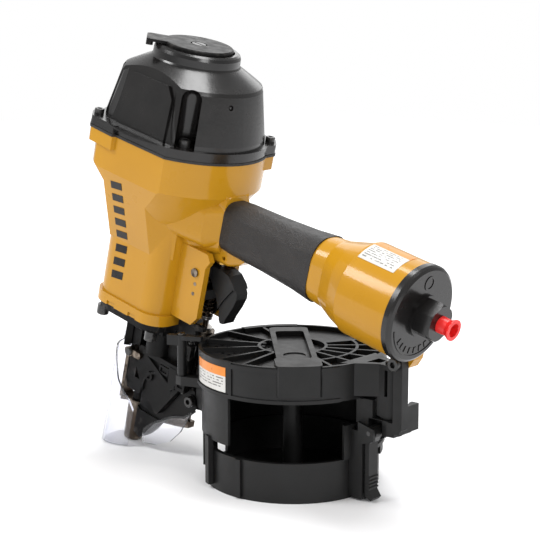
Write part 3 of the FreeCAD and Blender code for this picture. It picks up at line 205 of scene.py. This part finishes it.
# ---------------------------------------------------------------- materials
def yellow_paint():
    s = Shader("yellow_paint")
    tone = s.ramp(s.noise(9.0, 3.0), 0.3, 0.7)
    body = s.mix(tone, linear(174, 124, 22), linear(184, 133, 26))
    dust = s.ramp(s.noise(55.0, 5.0, 0.65), 0.56, 0.78, 0.0, 0.12)
    s.colour(s.mix(dust, body, linear(156, 106, 28)))
    s.roughness(s.ramp(s.noise(40.0, 4.0), 0.3, 0.7, 0.26, 0.36))
    s.set(coat_weight=0.45, coat_roughness=0.1, specular_ior_level=0.1)
    s.bump((s.noise(220.0, 2.0), 0.0006, 0.08), (s.noise(1500.0, 2.0), 0.0002, 0.04))
    return s.material


def black_gloss():
    s = Shader("black_gloss")
    tone = s.ramp(s.noise(30.0, 4.0), 0.35, 0.7)
    s.colour(s.mix(tone, linear(13, 12, 12), linear(22, 20, 19)))
    s.roughness(s.ramp(s.noise(70.0, 5.0, 0.6), 0.3, 0.75, 0.20, 0.30))
    s.set(coat_weight=0.15, coat_roughness=0.12, specular_ior_level=0.4)
    s.bump((s.noise(260.0, 3.0), 0.0006, 0.10), (scratches(s), 0.0001, 0.12))
    return s.material


def black_cast():
    s = Shader("black_cast")
    # painted highlight: sharp edges turn pale grey in noisy patches, standing in for light catching them
    pale_edges = s.math("MULTIPLY", s.edges(0.55, 0.66), s.ramp(s.noise(160.0, 5.0), 0.5, 0.64, 0.0, 0.7))
    base = s.mix(s.ramp(s.noise(60.0, 5.0), 0.35, 0.7), linear(12, 12, 12), linear(21, 20, 20))
    s.colour(s.mix(pale_edges, base, linear(84, 80, 76)))
    s.roughness(s.ramp(s.noise(120.0, 4.0), 0.3, 0.7, 0.32, 0.5))
    s.set(specular_ior_level=0.13)
    s.bump((s.noise(900.0, 4.0), 0.0004, 0.22), (s.noise(140.0, 3.0), 0.0008, 0.12))
    return s.material


def black_plastic():
    s = Shader("black_plastic")
    base = s.mix(s.ramp(s.noise(22.0, 4.0), 0.35, 0.7), linear(18, 18, 18), linear(26, 26, 26))
    dust = s.ramp(s.noise(140.0, 6.0, 0.7), 0.6, 0.8, 0.0, 0.16)
    s.colour(s.mix(dust, base, linear(48, 47, 46)))
    s.roughness(s.ramp(s.noise(80.0, 5.0), 0.3, 0.7, 0.34, 0.48))
    s.set(specular_ior_level=0.28)
    s.bump((s.noise(2600.0, 2.0), 0.0002, 0.2), (s.noise(45.0, 2.0), 0.001, 0.06),
           (scratches(s, 80.0), 0.0001, 0.1))
    return s.material


def grip_rubber():
    s = Shader("grip_rubber")
    s.colour(s.mix(s.ramp(s.noise(35.0, 5.0), 0.3, 0.7), linear(24, 23, 23), linear(34, 32, 32)))
    s.roughness(s.ramp(s.noise(150.0, 4.0), 0.3, 0.7, 0.40, 0.56))
    s.set(specular_ior_level=0.45)
    s.bump((s.cells(1100.0), 0.0006, 0.55), (s.noise(2600.0, 3.0), 0.0003, 0.3))
    return s.material


def black_screw():
    """Black oxide steel: dull black with a soft shine and rubbed edges."""
    s = Shader("black_screw")
    base = s.mix(s.ramp(s.noise(180.0, 3.0), 0.35, 0.7), linear(17, 16, 16), linear(26, 25, 25))
    rubbed = s.math("MULTIPLY", s.edges(0.54, 0.64), s.ramp(s.noise(300.0, 4.0), 0.42, 0.6, 0.0, 0.6))
    s.colour(s.mix(rubbed, base, linear(90, 88, 85)))
    s.roughness(s.ramp(s.noise(260.0, 4.0), 0.3, 0.7, 0.24, 0.36))
    s.set(coat_weight=0.2, coat_roughness=0.12)
    s.bump((s.noise(1100.0, 3.0), 0.0002, 0.1), (scratches(s, 90.0), 0.0001, 0.1))
    return s.material


def seal_rubber():
    s = Shader("seal_rubber")
    s.colour(s.mix(s.ramp(s.noise(90.0), 0.3, 0.7), linear(22, 22, 22), linear(36, 35, 34)))
    s.roughness(s.ramp(s.noise(200.0), 0.3, 0.7, 0.5, 0.7))
    s.bump((s.noise(1200.0), 0.0002, 0.2))
    return s.material


def metal(name, dark, light, low, high, grain=900.0, pale_edges=None):
    """Turned or rolled metal with a fine grain and stains."""
    s = Shader(name)
    stain = s.ramp(s.noise(70.0, 6.0, 0.65), 0.35, 0.75)
    colour = s.mix(stain, light, dark)
    if pale_edges:
        colour = s.mix(s.math("MULTIPLY", s.edges(), s.ramp(s.noise(220.0), 0.4, 0.6)), colour, pale_edges)
    s.colour(colour)
    s.roughness(s.ramp(s.noise(240.0, 5.0), 0.3, 0.7, low, high))
    s.set(metallic=1.0)
    drawn = s.noise(grain, 3.0, 0.6, s.stretched((1, 1, 0.15)))
    s.bump((drawn, 0.0002, 0.15), (scratches(s, 90.0), 0.0001, 0.12))
    return s.material


def red_plastic():
    s = Shader("red_plastic")
    s.colour(s.mix(s.ramp(s.noise(120.0), 0.3, 0.7), linear(214, 26, 24), linear(228, 38, 34)))
    s.roughness(s.ramp(s.noise(300.0), 0.3, 0.7, 0.32, 0.45))
    s.set(subsurface_weight=0.15, subsurface_radius=(0.004, 0.001, 0.001))
    s.bump((s.noise(1400.0), 0.0002, 0.12))
    return s.material


def clear_plastic():
    s = Shader("clear_plastic")
    edge = s.tree.nodes.new("ShaderNodeLayerWeight")
    edge.inputs["Blend"].default_value = 0.35
    s.colour(s.mix(edge.outputs["Facing"], linear(253, 253, 255), linear(214, 217, 240)))
    s.roughness(s.ramp(s.noise(160.0, 5.0), 0.3, 0.7, 0.05, 0.16))
    s.set(transmission_weight=0.98, ior=1.4)
    s.bump((s.noise(60.0), 0.0006, 0.08), (scratches(s, 70.0), 0.0001, 0.2))
    return s.material


def printed_rows(s, down, across, first, pitch, rows, left, right):
    """Soft grey dashes in rows, in place of small print. All distances are on the label, in metres."""
    row = s.math("FRACT", s.math("DIVIDE", s.math("SUBTRACT", down, first), pitch))
    on_row = s.math("LESS_THAN", row, DASH_SHARE)
    inside = s.math("MULTIPLY", s.within(down, first, first + pitch * rows), s.within(across, left, right))
    gaps = s.ramp(s.noise(420.0, 1.0), 0.42, 0.5)
    return s.math("MULTIPLY", s.math("MULTIPLY", on_row, inside), gaps)


def label_sheet(name, header, down, across, **print_area):
    """A white sticker with an orange header; header, down and across take the shader and give its values."""
    s = Shader(name)
    paper = s.mix(s.ramp(s.noise(60.0), 0.3, 0.7), linear(196, 194, 190), linear(206, 205, 201))
    orange = s.mix(s.ramp(s.noise(90.0), 0.3, 0.7), linear(212, 120, 18), linear(220, 130, 24))
    base = s.mix(header(s), paper, orange)
    dashes = printed_rows(s, down(s), across(s), **print_area)
    s.colour(s.mix(s.math("MULTIPLY", dashes, PRINT_STRENGTH), base, linear(58, 56, 54)))
    s.roughness(s.ramp(s.noise(200.0), 0.3, 0.7, 0.26, 0.36))
    s.bump((s.noise(600.0), 0.0002, 0.05))
    return s.material


def magazine_label():
    """Header above, four rows of dashes below."""
    header_height = 0.0075
    low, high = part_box("magazine_label")
    header_low = high[2] - header_height
    return label_sheet("magazine_label",
                       header=lambda s: s.math("GREATER_THAN", s.along((0, 0, 1)), header_low),
                       down=lambda s: s.along((0, 0, -1), header_low),
                       across=lambda s: s.along((1, 0, 0)),
                       first=0.0015, pitch=0.0024, rows=4, left=low[0] + 0.002, right=high[0] - 0.003)


def reservoir_label():
    """On the left shoulder of the reservoir: header along its upper edge, seven rows down its side."""
    header_width = 0.009
    back = (math.cos(LEAN), 0, -math.sin(LEAN))
    low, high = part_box("reservoir_label")
    header_low = high[1] - header_width
    start = low[0] * back[0] + high[2] * back[2]
    return label_sheet("reservoir_label",
                       header=lambda s: s.math("GREATER_THAN", s.along((0, 1, 0)), header_low),
                       down=lambda s: s.along((0, -1, 0), header_low),
                       across=lambda s: s.along(back, -start),
                       first=0.0016, pitch=0.0023, rows=7, left=0.004, right=0.034)


def decal_print():
    s = Shader("decal")
    s.colour(s.mix(s.ramp(s.noise(160.0, 5.0), 0.35, 0.7), linear(20, 19, 18), linear(36, 33, 30)))
    s.roughness(s.ramp(s.noise(200.0), 0.3, 0.7, 0.26, 0.36))
    s.set(coat_weight=0.1, coat_roughness=0.2, specular_ior_level=0.15)
    s.bump((s.noise(220.0), 0.0004, 0.08))
    return s.material


SLOTS = {
    "yellow_paint": yellow_paint(),
    "black_gloss": black_gloss(),
    "black_cast": black_cast(),
    "black_plastic": black_plastic(),
    "grip_rubber": grip_rubber(),
    "seal_rubber": seal_rubber(),
    "bright_steel": metal("bright_steel", linear(150, 148, 146), linear(196, 194, 190), 0.22, 0.38),
    "dark_steel": metal("dark_steel", linear(58, 50, 43), linear(86, 75, 65), 0.3, 0.5,
                        pale_edges=linear(140, 130, 118)),
    "black_screw": black_screw(),
    "brass": metal("brass", linear(160, 122, 60), linear(206, 166, 92), 0.24, 0.4),
    "aluminium": metal("aluminium", linear(160, 160, 162), linear(206, 206, 208), 0.26, 0.4),
    "red_plastic": red_plastic(),
    "clear_plastic": clear_plastic(),
    "decal": decal_print(),
}


OWN_LOOKS = {"magazine_label": magazine_label(), "reservoir_label": reservoir_label(),
             "inlet_fitting": SLOTS["black_gloss"]}


def dress_nodes():
    """Gives every CAD node the material of its slot in the record, or its own where it has one."""
    for part in frame["record"]["subparts"]:
        node = NODES[part["node"]]
        node.data.materials.clear()
        node.data.materials.append(OWN_LOOKS.get(part["node"]) or SLOTS[part["material_slot"]])


SPRINGS = {"arm_spring": "contact_arm_press", "feed_spring": "feed_stroke",
           "head_valve_spring": "head_valve_lift", "trigger_valve_spring": "valve_stem_push"}


def squeeze_springs():
    """Each spring is a copy of its CAD node on the same body, with the CAD node hidden."""
    joints = {joint["name"]: joint for joint in frame["record"]["behaviour"]["joints"]}
    for name, mover in SPRINGS.items():
        node, joint = NODES[name], joints[mover]
        body = body_of(node)[0]
        spring = bpy.data.objects.new(name + "_coils", node.data.copy())
        bpy.context.collection.objects.link(spring)
        spring.matrix_world = node.matrix_world.copy()
        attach(spring, body)
        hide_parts(name)
        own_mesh(spring)


# ---------------------------------------------------------------- stage
def stage():
    """A pale floor that glows softly away from the tool, so that its far part melts into the surround."""
    half = FLOOR_SIZE / 2
    corners = [(-half, -half, 0), (half, -half, 0), (half, half, 0), (-half, half, 0)]
    mesh = bpy.data.meshes.new("floor")
    mesh.from_pydata(corners, [], [(0, 1, 2, 3)])
    floor = bpy.data.objects.new("floor", mesh)
    bpy.context.collection.objects.link(floor)
    s = Shader("floor")
    s.colour(s.mix(s.noise(3.0), (0.90, 0.90, 0.91, 1), (0.93, 0.93, 0.94, 1)))
    s.roughness(s.ramp(s.noise(20.0), 0.3, 0.7, 0.5, 0.6))
    away = s.node("ShaderNodeVectorMath", Vector=s.place)
    away.operation = "LENGTH"
    s.feed(s.bsdf.inputs["Emission Strength"], s.ramp(away.outputs["Value"], 0.5, 1.6, 0.0, 0.5))
    s.set(emission_color=(1, 1, 1, 1))
    mesh.materials.append(s.material)


def area_light(name, place, target, size, power, tall=None):
    light = bpy.data.lights.new(name, "AREA")
    light.shape = "RECTANGLE"
    light.size = size
    light.size_y = tall or size
    light.energy = power
    obj = bpy.data.objects.new(name, light)
    obj.location = place
    obj.rotation_euler = (Vector(target) - Vector(place)).to_track_quat("-Z", "Y").to_euler()
    bpy.context.collection.objects.link(obj)


def lights():
    """A white studio: an even surround, a large soft key at the left front, and fill, back and top lights."""
    scene = bpy.context.scene
    scene.view_settings.view_transform = "Standard"
    world = bpy.data.worlds.new("studio")
    scene.world = world
    world.use_nodes = True
    tree = world.node_tree
    tree.nodes["Background"].inputs["Color"].default_value = (1, 1, 1, 1)
    seen = tree.nodes.new("ShaderNodeMapRange")
    seen.inputs["To Min"].default_value = WORLD_LIGHT
    seen.inputs["To Max"].default_value = WORLD_SEEN
    tree.links.new(tree.nodes.new("ShaderNodeLightPath").outputs["Is Camera Ray"], seen.inputs["Value"])
    tree.links.new(seen.outputs["Result"], tree.nodes["Background"].inputs["Strength"])
    middle = (-0.02, -0.02, 0.18)
    area_light("key", (-0.9, -1.2, 1.6), middle, 0.7, 24.0)
    area_light("fill", (1.6, -0.7, 0.9), middle, 0.6, 11.0)
    area_light("back", (-0.86, 1.15, 1.15), middle, 1.2, 6.0)
    area_light("top", (0.1, 0.3, 1.9), middle, 1.2, 22.0, 0.5)


def camera():
    """On the tool's left, towards the handle's end, a little above it."""
    turn, tilt = math.radians(41.5), math.radians(12.1)
    away = Vector((math.sin(turn) * math.cos(tilt), -math.cos(turn) * math.cos(tilt), math.sin(tilt)))
    aim = Vector((0, -0.016, 0.150))
    distance = 1.2742
    look_turn, look_tilt = turn + math.radians(0.4), tilt - math.radians(1.5)
    back = Vector((math.sin(look_turn) * math.cos(look_tilt), -math.cos(look_turn) * math.cos(look_tilt),
                   math.sin(look_tilt)))
    right = Vector((math.cos(look_turn), math.sin(look_turn), 0))
    up = back.cross(right)
    data = bpy.data.cameras.new("camera")
    data.sensor_width = 36
    data.lens = 100.6
    obj = bpy.data.objects.new("camera", data)
    place = aim + away * distance
    obj.matrix_world = Matrix(((right.x, up.x, back.x, place.x), (right.y, up.y, back.y, place.y),
                               (right.z, up.z, back.z, place.z), (0, 0, 0, 1)))
    bpy.context.collection.objects.link(obj)
    bpy.context.scene.camera = obj


dress_nodes()
squeeze_springs()
stage()
lights()
camera()
